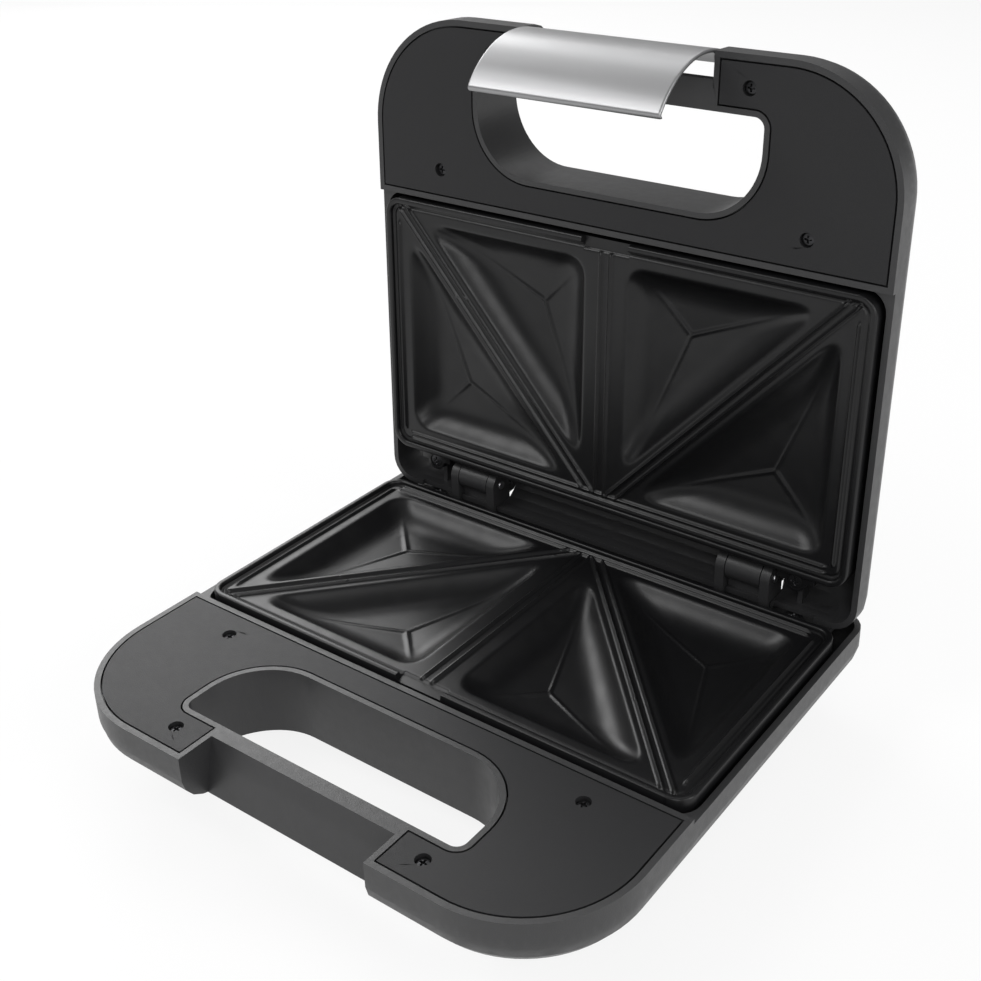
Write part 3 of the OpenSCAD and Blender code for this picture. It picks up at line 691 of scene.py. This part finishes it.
RIM_LINES = np.array([
    0.1, 0.3, 0.6, 1.0, 1.5, 1.9, 2.2, 2.42, 2.56, 2.66, 2.7, 2.95, 3.25, 3.6, 3.95, 4.3, 4.65
])
RIB_LINES = np.array([-1.0, -0.7, -0.35, 0, 0.35, 0.7, 1.0])
GATE_LINES = GATE_HALF + np.array([-0.45, -0.3, -0.15, 0, 0.15])
side_lines = np.r_[RIM_LINES, SIDE_IN + RIB_LINES]
mid_lines = np.r_[-MID_PAIR + RIB_LINES, MID_PAIR + RIB_LINES, 0, GATE_LINES, -GATE_LINES]
x_lines = np.r_[-HALF_W + side_lines, HALF_W - side_lines, mid_lines]
x_lines = grid_lines(-HALF_W, HALF_W, DIAG[0], STEP, x_lines)
rear_lines = np.r_[REAR - RIM_LINES, REAR - REAR_RIBS[0] - RIB_LINES, REAR - REAR_RIBS[1] - RIB_LINES]
y_lines = np.r_[FRONT + RIM_LINES, rear_lines, FRONT + GATE_BACK - 0.1]
y_lines = grid_lines(FRONT, REAR, DIAG[1], STEP * SLOPE, y_lines)
print("plate grid:", len(x_lines), "by", len(y_lines), "lines")

# %% Plate corners


def press_corners(x, y):
    """Presses the square corners of the grid into quarter circles of radius CORNER.

    In the last CORNER mm square of each corner, the greater of the two distances from its
    inner corner becomes the radius, and their ratio becomes the angle.
    """
    middle = (FRONT + REAR) / 2
    cx = np.sign(x) * (HALF_W - CORNER)
    cy = np.where(y > middle, REAR - CORNER, FRONT + CORNER)
    u, v = (x - cx) * np.sign(x), (y - cy) * np.sign(y - middle)
    bent = (u > 0) & (v > 0)
    r, low = np.maximum(u, v), np.minimum(u, v)
    turn = (low / np.where(bent, r, 1)) * np.pi / 4
    angle = np.where(u >= v, turn, np.pi / 2 - turn)
    px = np.where(bent, cx + np.sign(x) * r * np.cos(angle), x)
    py = np.where(bent, cy + np.sign(y - middle) * r * np.sin(angle), y)
    return px, py


def border(grid):
    """The outer loop of a grid of points, once round and closed."""
    return np.concatenate([grid[0], grid[1:, -1], grid[-1, -2::-1], grid[-2::-1, 0]])


# %% Closed plates
SKIRT_LIP, WALL_T, UNDER_TOP, UNDER_RIM = 0.4, 2.5, 34.2, 2.4


def cooking_plate():
    """Top face, skirt and underside of a plate as parts that weld into one closed shell.

    The underside has every second line of the top. Three triangles for each pair of fine edges
    join the fine loop of the skirt to the coarse loop below it.
    """
    x, y = np.meshgrid(x_lines, y_lines)
    px, py = press_corners(x, y)
    top = np.stack([px, py, plate_height(x, y)], -1)
    fine = border(top)
    low = fine.copy()
    low[:, 2] = SKIRT_Z + SKIRT_LIP
    cx, cy = x[::2, ::2], y[::2, ::2]
    edge = np.minimum(HALF_W - np.abs(cx), np.minimum(cy - FRONT, REAR - cy))
    outer, inner = pockets(cx, cy)
    under = np.minimum(UNDER_TOP, LAND_Z - (outer + inner) - WALL_T)
    under = np.where(edge < UNDER_RIM, SKIRT_Z, under)
    bottom = np.stack([px[::2, ::2], py[::2, ::2], under], -1)
    coarse = border(bottom)
    n, m = len(low) - 1, len(coarse) - 1
    k = np.arange(m)
    f0, f1, f2, c0, c1 = 2 * k, 2 * k + 1, 2 * k + 2, n + 1 + k, n + 2 + k
    corners = ([f0, c0, f1], [f1, c1, f2], [f1, c0, c1])
    fan = np.concatenate([np.stack(t, 1) for t in corners])
    skirt = sheet(np.stack([low, fine]))
    top_points, top_tris = sheet(top, x_lines[:-1] >= 0)
    low_points, low_tris = sheet(bottom)
    foot = np.concatenate([low, coarse])
    return [(top_points, top_tris), skirt, (foot, fan), (low_points, low_tris[:, ::-1])]


build("lower_cooking_plate", cooking_plate(), "base", PLATE, on_base, ["lower_plate"], 60)
build("upper_cooking_plate", cooking_plate(), "lid", PLATE, on_lid, ["upper_plate"], 60)

# %% [markdown]
# ## Screws
#
# Small black screws hold the cover panels and the plates. A turned shape is a profile carried
# round an axis, and so is a screw, but its cross recess isn't round. A boolean cut would do it.
# Here the head is a fine polar grid instead, and the recess is a dip in its height, which stays
# clean at any size.

# %% Turned shapes
TURNS = np.linspace(0, 2 * np.pi, 65)
ARM, ARM_EASE, ARM_END, END_EASE = 0.16, 0.07, 0.6, 0.12
CORE, CROSS_DEEP, SHOULDER = 0.3, 0.5, 0.35


def turned(profile, origin, axis="z"):
    """A profile of (radius, height) pairs carried once round an axis through the origin."""
    r, h = np.array(profile, float).T
    rounds = [np.outer(r, np.cos(TURNS)), np.outer(r, np.sin(TURNS)), np.outer(h, np.ones(65))]
    u = np.stack(rounds, -1)
    u[:, -1] = u[:, 0]
    u = u if axis == "z" else u[..., [2, 0, 1]]
    return sheet(u + np.array(origin, float))


def cross_screw(x, y, z, head_r, head_h, shank_r, length, dome):
    """Turned head with a cross pressed into it, on a plain shank.

    Height is a shallow dome less a recess whose arms are a smoothed plus sign.
    """
    r = np.r_[np.linspace(0, 0.72, 22), np.linspace(0.76, 0.92, 5), 0.97, 1.0] * head_r
    a = np.linspace(0, 2 * np.pi, 97)
    px, py = np.outer(r, np.cos(a)), np.outer(r, np.sin(a))
    shoulder = np.clip((r / head_r - 0.9) / 0.1, 0, 1)[:, None]
    top = head_h + dome * (1 - (r / head_r) ** 2)[:, None] - SHOULDER * shoulder**2
    slot, reach = np.minimum(np.abs(px), np.abs(py)), np.maximum(np.abs(px), np.abs(py))
    arms = np.clip((ARM * head_r - slot) / (ARM_EASE * head_r), 0, 1)
    ends = np.clip((ARM_END * head_r - reach) / (END_EASE * head_r), 0, 1)
    core = np.clip((CORE * head_r - r[:, None]) / (END_EASE * head_r), 0, 1)
    cross = np.maximum(arms * ends, core)
    head = np.stack([px, py, top - cross * (CROSS_DEEP * head_h)], -1)
    head[:, -1] = head[:, 0]
    rim = head[-1]
    neck = rim * [shank_r / head_r] * [1, 1, 0]
    tip = [0, 0, length]
    under = np.stack([rim, rim * [1, 1, 0], neck, neck - tip, rim * 0 - tip])
    return [(p + np.array([x, y, z]), t) for p, t in (sheet(head), sheet(under))]


# %% Screws in their holes
EAR_X, EAR_Y, EAR_TOP = 90.0, 126.5, 36.4
EAR_SEAT = EAR_TOP - 1.4
SCREW_SINK, SCREW_SEAT_H = 0.9, 2.2
SCREW_SEAT = PANEL_Z - SCREW_SINK - SCREW_SEAT_H
COVER_SCREW = (2.4, 1.7, 1.4, 10.4, 0.2)
EAR_SCREW = (3.0, 1.1, 1.5, 9.0, 0.25)
HALVES = [("base", "lower", on_base), ("lid", "upper", on_lid)]

for half, level, place in HALVES:
    parts = [s for x, y in PANEL_SCREWS for s in cross_screw(x, y, SCREW_SEAT, *COVER_SCREW)]
    build(half + "_cover_screws", parts, half, SCREW, place, [half + "_panel_screws"], 30)
    parts = [s for x in (-EAR_X, EAR_X) for s in cross_screw(x, EAR_Y, EAR_SEAT, *EAR_SCREW)]
    build(level + "_ear_screws", parts, half, SCREW, place, [level + "_plate_screws"], 30)

# %% [markdown]
# ## Plate ears
#
# Behind each plate two tabs with a screw hole hold it in the casing. The outline is a half disc
# that runs into the plate. It could be cut from a box and a cylinder. As a loop it is one
# surface: from the hole's wall over the rounded top edge to the outline and back below.

# %% Ears
EAR_T, EAR_ROUND, EAR_HALF, EAR_LEG = 2.4, 4.4, 8, 5.5
EAR_BORE, EAR_SINK_R, EAR_SINK_H = 1.8, 3.2, 2.0


def ear(x):
    """A tab round a screw hole: outline radius is the greater of a disc and a box's ray."""
    a = np.linspace(0, 2 * np.pi, 121) + 1e-4
    ray = np.minimum(EAR_HALF / np.abs(np.cos(a)), EAR_LEG / np.abs(np.sin(a)))
    out = np.where(np.sin(a) < 0, np.maximum(EAR_ROUND, ray), EAR_ROUND)
    ring = [(EAR_BORE, 0), (EAR_BORE, EAR_SINK_H), (EAR_SINK_R, EAR_SINK_H), (EAR_SINK_R, EAR_T)]
    rounds = [np.full(121, q[0]) for q in ring]
    r = np.stack(rounds + [out - 0.35, out - 0.1, out, out, out * 0 + EAR_BORE])
    z = np.array([q[1] for q in ring] + [EAR_T, EAR_T - 0.1, EAR_T - 0.35, 0, 0])[:, None] + 0 * r
    grid = np.stack([x + r * np.cos(a), EAR_Y + r * np.sin(a), EAR_TOP - EAR_T + z], -1)
    grid[:, -1] = grid[:, 0]
    return sheet(grid)


for half, level, place in HALVES:
    for side, x in (("left", -EAR_X), ("right", EAR_X)):
        build(f"{level}_plate_ear_{side}", [ear(x)], half, PLATE, place, crease=30)

# %% [markdown]
# ## Feet, pins and lamp windows
#
# Four rubber feet are pressed into the base, two steel pins carry the lid, and a red and a green
# window in the lid show the lamps. All are turned parts, so each is one profile. A cylinder with
# a bevel would lack the hollow under the foot and the collar behind the window.

# %% Feet
FEET = [(-72, 40), (72, 40), (-72, 113), (72, 113)]
FOOT = [(0, 0.9), (4.6, 0.9), (5.2, 0.35), (5.9, 0), (7.3, 0), (7.8, 0.2), (8, 0.7)]
FOOT += [(7.6, 4.0), (3, 4.0), (3, 6.6), (2.6, 7.0), (0, 7.0)]
feet = [turned(FOOT, (x, y, 0)) for x, y in FEET]
build("feet", feet, "base", RUBBER, on_base, ["rubber_feet"], 35)

# %% Pins
HINGE_X, PIN_L, PIN_R, PIN_CURVE = 68.0, 25.0, 2.0, 0.4


def rounded_end(radius, height, curve, steps=5):
    """Profile points of a convex end: a quarter circle of radius curve, then the centre."""
    arc = np.linspace(0, np.pi / 2, steps)
    bend = [(radius - curve + curve * math.cos(t), height - curve + curve * math.sin(t)) for t in arc]
    return bend + [(0, height)]


def pin(length, radius, middle):
    """A pin along X with both ends rounded over."""
    end = rounded_end(radius, length / 2, PIN_CURVE)
    profile = [(r, -h) for r, h in end[::-1]] + end
    return turned(profile, middle, "x")


pins = [pin(PIN_L, PIN_R, (s * HINGE_X, HINGE_Y, HINGE_Z)) for s in (-1, 1)]
build("hinge_pin_pair", pins, "base", STEEL, on_base, ["hinge_pins"], 35)

# %% Lamp windows
LENS_X, LENS_Y, LENS_R, COLLAR_R, COLLAR_H, WALL = 10, 40, 4.0, 5.5, 1.2, 2.4
DOME_R, DOME_H, DOME_OUT = 3.2, 0.55, 0.6
face = BELLY_Z - DOME_OUT
LENS = [(0, face)]
LENS += [(DOME_R * math.sin(t), face + DOME_H * (1 - math.cos(t))) for t in np.linspace(0.3, 1.57, 5)]
LENS += [(LENS_R - 0.05, BELLY_Z + 0.05), (LENS_R, BELLY_Z + 0.2), (LENS_R, BELLY_Z + WALL)]
LENS += [(COLLAR_R, BELLY_Z + WALL), (COLLAR_R, BELLY_Z + WALL + COLLAR_H), (0, BELLY_Z + WALL + COLLAR_H)]
for name, material, x in (("power", RED, -LENS_X), ("ready", GREEN, LENS_X)):
    lens = turned(LENS, (x, LENS_Y, 0))
    build(name + "_lamp_lens", [lens], "lid", material, on_lid, [name + "_lens"], 35)

# %% [markdown]
# ## Latch clip
#
# The clip is a satin silver shell across the notch of the upper handle. Its section is an arc
# whose lower edge is rolled in, so that it hooks under the lower handle. It could be a curve
# with a bevel. Here it is that centre line carried across the width, with a thickness that falls
# to nothing along all four edges, which rounds them.

# %% Clip shell
CLIP_R, CLIP_T, CLIP_HALF = 38.0, 1.6, 41.0
CLIP_Y, CLIP_Z, CLIP_TOP = -33.5, 40.2, 63.0
CLIP_END = math.radians(-56)
ROLL_R, ROLL_TURN, ROLL_END, ROLL_THIN = 1.0, math.radians(85), 0.7, 0.7
SIDE_ROUND = 0.8


def clip_line():
    """Centre line: arc of radius CLIP_R less half the thickness, then a roll and a short tail."""
    r = CLIP_R - CLIP_T / 2
    a = np.linspace(math.asin((CLIP_TOP - CLIP_Z - 0.5) / r), CLIP_END, 72)
    y, z = CLIP_Y - r * np.cos(a), CLIP_Z + r * np.sin(a)
    lead = -np.pi / 2 - CLIP_END
    way = lead + np.linspace(0, ROLL_TURN, 9)[1:]
    roll_y = y[-1] + ROLL_R * (np.sin(way) - math.sin(lead))
    roll_z = z[-1] - ROLL_R * (np.cos(way) - math.cos(lead))
    roll = np.stack([roll_y, roll_z], 1)
    tail = roll[-1] + np.outer(np.linspace(0.2, ROLL_END, 4), [math.cos(way[-1]), math.sin(way[-1])])
    thin = np.linspace(1, ROLL_THIN, len(roll) + len(tail))
    return np.concatenate([np.stack([y, z], 1), roll, tail]), np.r_[np.ones(len(y)), thin]


def clip_shell():
    """The centre line offset to both sides by half a thickness, at every place across.

    The thickness is CLIP_T times the root of one less the square of the nearness to an edge.
    """
    line, thin = clip_line()
    step = np.gradient(line, axis=0)
    step /= np.linalg.norm(step, axis=1)[:, None]
    normal = np.stack([step[:, 1], -step[:, 0]], 1)
    s = np.r_[0, np.cumsum(np.linalg.norm(np.diff(line, axis=0), axis=1))]
    half = CLIP_T / 2 * thin
    edge_s = np.clip(1 - np.minimum(s, s[-1] - s) / half, 0, 1)
    x = np.r_[np.linspace(0, 1, 8) ** 2, np.linspace(2.5, CLIP_HALF, 14)]
    x = np.r_[x - CLIP_HALF, (CLIP_HALF - x)[::-1][1:]]
    edge_x = np.clip(1 - (CLIP_HALF - np.abs(x)) / SIDE_ROUND, 0, 1)
    thick = half[:, None] * np.sqrt(1 - edge_s**2)[:, None] * np.sqrt(1 - edge_x**2)[None]
    grid = np.stack([x[None] + 0 * thick, line[:, 0:1] + 0 * thick, line[:, 1:2] + 0 * thick], -1)
    shift = np.stack([0 * thick, normal[:, 0:1] * thick, normal[:, 1:2] * thick], -1)
    points, tris = sheet(grid - shift)
    return [sheet(grid + shift), (points, tris[:, ::-1])]


# %% Clip ears and pivot pins
PIVOT_Y, PIVOT_Z, PIVOT_R, PIVOT_HOLE = -60.0, 55.0, 3.6, 1.55
EAR_DISCS = [(PIVOT_Y, PIVOT_Z, PIVOT_R), (-68.7, 49, 1.0), (-64.2, 60, 1.0)]
EAR_IN, EAR_HALF_T, EAR_BEVEL = 1.5, 1, 0.25
PIVOT_PIN_L, PIVOT_PIN_R = 8, 1.5


def belt(discs, hole, x0, x1):
    """Flat link from x0 to x1 with a round hole: at each angle the outline is on the disc
    (y, z, radius) that reaches furthest that way, which is a belt round the discs."""
    a = np.linspace(0, 2 * np.pi, 97)
    n = np.stack([np.cos(a), np.sin(a)], 1)
    d = np.array(discs, float)
    best = np.argmax(n @ d[:, :2].T + d[:, 2], axis=1)
    out = d[best, :2] + n * d[best, 2:3]
    inner = np.array(hole[:2]) + n * hole[2]
    brim = out * 0.97 + inner * 0.03
    loops = [(inner, x0), (brim, x0), (out, x0 + EAR_BEVEL), (out, x1 - EAR_BEVEL)]
    loops += [(brim, x1), (inner, x1), (inner, x0)]
    grid = np.stack([np.column_stack([np.full(97, x), p]) for p, x in loops])
    grid[:, -1] = grid[:, 0]
    return sheet(grid)


parts = clip_shell()
for s in (-1, 1):
    x = s * (CLIP_HALF - EAR_IN)
    parts.append(belt(EAR_DISCS, (PIVOT_Y, PIVOT_Z, PIVOT_HOLE), x - EAR_HALF_T, x + EAR_HALF_T))
build("latch_shell", parts, "latch", SILVER, swing, ["latch_clip"], 40)
pins = [pin(PIVOT_PIN_L, PIVOT_PIN_R, (s * NOTCH_HALF, PIVOT_Y, PIVOT_Z)) for s in (-1, 1)]
build("latch_pin_pair", pins, "lid", STEEL, swing, ["latch_pins"], 35)

# %% [markdown]
# ## Inner parts
#
# The heating rods, straps, reflectors, thermostat and terminals sit inside the casings. Their
# CAD shapes are right and nobody sees them close up, so they only take their finishes.

# %% Inner parts
INNER = {
    "lower_rod": ROD, "upper_rod": ROD, "lower_rod_ends": CERAMIC, "upper_rod_ends": CERAMIC,
    "lower_rod_straps": ZINC, "upper_rod_straps": ZINC, "lower_reflector": TIN, "upper_reflector": TIN,
    "thermostat": CUP, "thermal_fuse": CERAMIC, "terminal_block": NYLON, "lamp_holder": NYLON,
}
for node, material in INNER.items():
    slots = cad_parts[node].data.materials
    slots.clear()
    slots.append(material)
print("CAD nodes with a new finish:", len(INNER))

# %% [markdown]
# ## Floor
#
# The photograph is a cut-out on white, so the floor is white too and keeps only a faint shadow.
# To the camera, and in reflections, it is mostly its own white, whatever the lamps do. A brighter
# lamp would whiten it as well, but it would wash out the black plastic.

# %% Floor
FLOOR_WHITE, FLOOR_PAINT, FLOOR_HALF = 0.86, 0.86, 6


def camera_white(tree):
    """One for rays from the camera, glossy rays and transmission rays, else nought."""
    path = tree.nodes.new("ShaderNodeLightPath")
    total = path.outputs["Is Camera Ray"]
    for name in ("Is Glossy Ray", "Is Transmission Ray"):
        add = tree.nodes.new("ShaderNodeMath")
        add.operation, add.use_clamp = "ADD", True
        tree.links.new(total, add.inputs[0])
        tree.links.new(path.outputs[name], add.inputs[1])
        total = add.outputs[0]
    return total


def stage_plane(name, corners, white):
    """A plane of two triangles with a pale diffuse that the camera sees partly as flat white."""
    mesh = bpy.data.meshes.new(name)
    mesh.from_pydata(corners, [], [(0, 1, 2, 3)])
    plane = bpy.data.objects.new(name, mesh)
    bpy.context.collection.objects.link(plane)
    m = bpy.data.materials.new(name)
    m.use_nodes = True
    tree = m.node_tree
    tree.nodes.clear()
    kinds = ("BsdfDiffuse", "Emission", "MixShader", "OutputMaterial")
    paint, glow, mix, out = (tree.nodes.new("ShaderNode" + kind) for kind in kinds)
    paint.inputs["Color"].default_value = (FLOOR_PAINT, FLOOR_PAINT, FLOOR_PAINT, 1)
    glow.inputs["Color"].default_value = (1, 1, 1, 1)
    share = tree.nodes.new("ShaderNodeMath")
    share.operation = "MULTIPLY"
    share.inputs[1].default_value = white
    tree.links.new(camera_white(tree), share.inputs[0])
    tree.links.new(share.outputs[0], mix.inputs[0])
    tree.links.new(paint.outputs[0], mix.inputs[1])
    tree.links.new(glow.outputs[0], mix.inputs[2])
    tree.links.new(mix.outputs[0], out.inputs[0])
    mesh.materials.append(m)


square = [(x * FLOOR_HALF, y * FLOOR_HALF, 0) for x, y in ((-1, -1), (1, -1), (1, 1), (-1, 1))]
stage_plane("floor", square, FLOOR_WHITE)
print("floor:", 2 * FLOOR_HALF, "m square")

# %% [markdown]
# ## Light
#
# The light is a soft studio. A weak pale world fills the shadows. A broad panel behind on the
# left draws the sheen that runs over the lower handle, and a weaker one hangs over the back. One
# on the right lights the side walls, and three in front light the plate in the open lid, which
# faces that way. A sky picture could do this in one go, but lamps can be moved one by one.

# %% World
WORLD_LIGHT, WORLD_SEEN = 0.25, 1.0
world = bpy.data.worlds.new("studio")
bpy.context.scene.world = world
world.use_nodes = True
tree = world.node_tree
sky = tree.nodes["Background"]
sky.inputs["Color"].default_value = (1, 1, 1, 1)
span = tree.nodes.new("ShaderNodeMapRange")
span.inputs["To Min"].default_value = WORLD_LIGHT
span.inputs["To Max"].default_value = WORLD_SEEN
only_camera = tree.nodes.new("ShaderNodeLightPath").outputs["Is Camera Ray"]
tree.links.new(only_camera, span.inputs["Value"])
tree.links.new(span.outputs["Result"], sky.inputs["Strength"])

# %% Lamps


def lamp(name, place, aim, size, watts):
    """A square area lamp at a place, turned so that its -Z looks at aim."""
    data = bpy.data.lights.new(name, "AREA")
    data.size, data.energy = size, watts
    light = bpy.data.objects.new(name, data)
    back = np.array(place, float) - aim
    back /= np.linalg.norm(back)
    side = np.cross([0, 0, 1], back)
    side /= np.linalg.norm(side)
    m = np.eye(4)
    m[:3, 0], m[:3, 1], m[:3, 2], m[:3, 3] = side, np.cross(back, side), back, place
    light.matrix_world = Matrix(m.tolist())
    bpy.context.collection.objects.link(light)


lamp("left_back", (-1.45, 0.75, 1.05), (0, 0, 0.05), 1.1, 20)
lamp("over_back", (-0.3, 0.9, 1.5), (0, 0, 0.1), 1.0, 6)
lamp("top_left", (-0.87, -0.72, 1.2), (0, 0, 0.12), 0.7, 9)
lamp("right_side", (1.6, 0.0, 0.9), (0, 0, 0.12), 0.9, 13)
lamp("front_right", (0.95, -1.3, 0.4), (0, 0, 0.12), 0.4, 2.5)
lamp("by_the_camera", (0.52, -1.05, 1.0), (0, 0.09, 0.15), 0.6, 5)
print("lamps:", len(bpy.data.lights))
